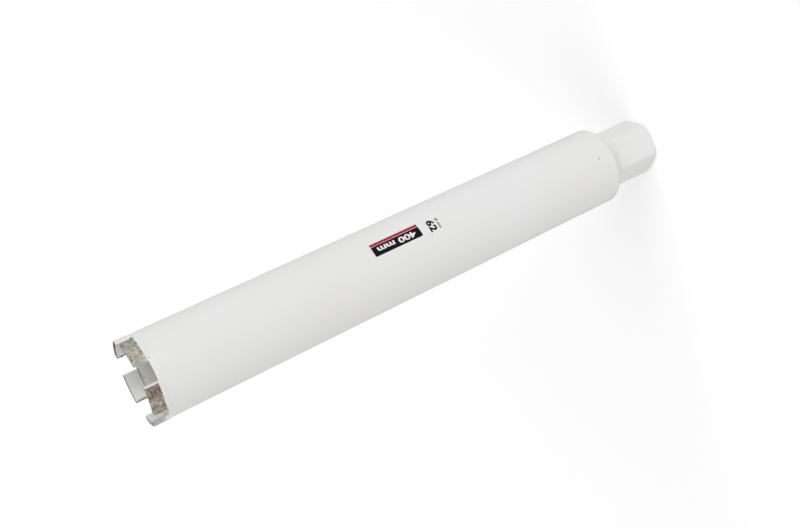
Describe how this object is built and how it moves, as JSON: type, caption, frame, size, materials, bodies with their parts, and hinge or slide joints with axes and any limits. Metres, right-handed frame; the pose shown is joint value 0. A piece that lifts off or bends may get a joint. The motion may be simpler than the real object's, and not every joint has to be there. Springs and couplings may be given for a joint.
{
  "type": "diamond core bit",
  "caption": "Wet diamond core drill bit: long painted steel barrel with sintered cutting segments at its open end and a hexagonal hub with a female thread.",
  "frame": {"origin": "centre of the hub's end face, on which the bit stands", "axes": "+Z along the bit's axis from the hub to the crown of segments; two flats of the hexagon face +Y and -Y"},
  "size_m": [0.0616, 0.062, 0.448],
  "materials": {
    "painted_barrel": "gloss white enamel on steel tube",
    "painted_hub": "gloss white enamel on turned steel",
    "diamond_segment": "sintered metal matrix with diamond grit"
  },
  "bodies": {
    "root": {"barrel_tube": "painted_barrel", "end_cap": "painted_barrel", "hub": "painted_hub", "hub_weld": "painted_hub", "segment_1": "diamond_segment", "segment_2": "diamond_segment", "segment_3": "diamond_segment", "segment_4": "diamond_segment", "segment_5": "diamond_segment"}
  },
  "joints": []
}
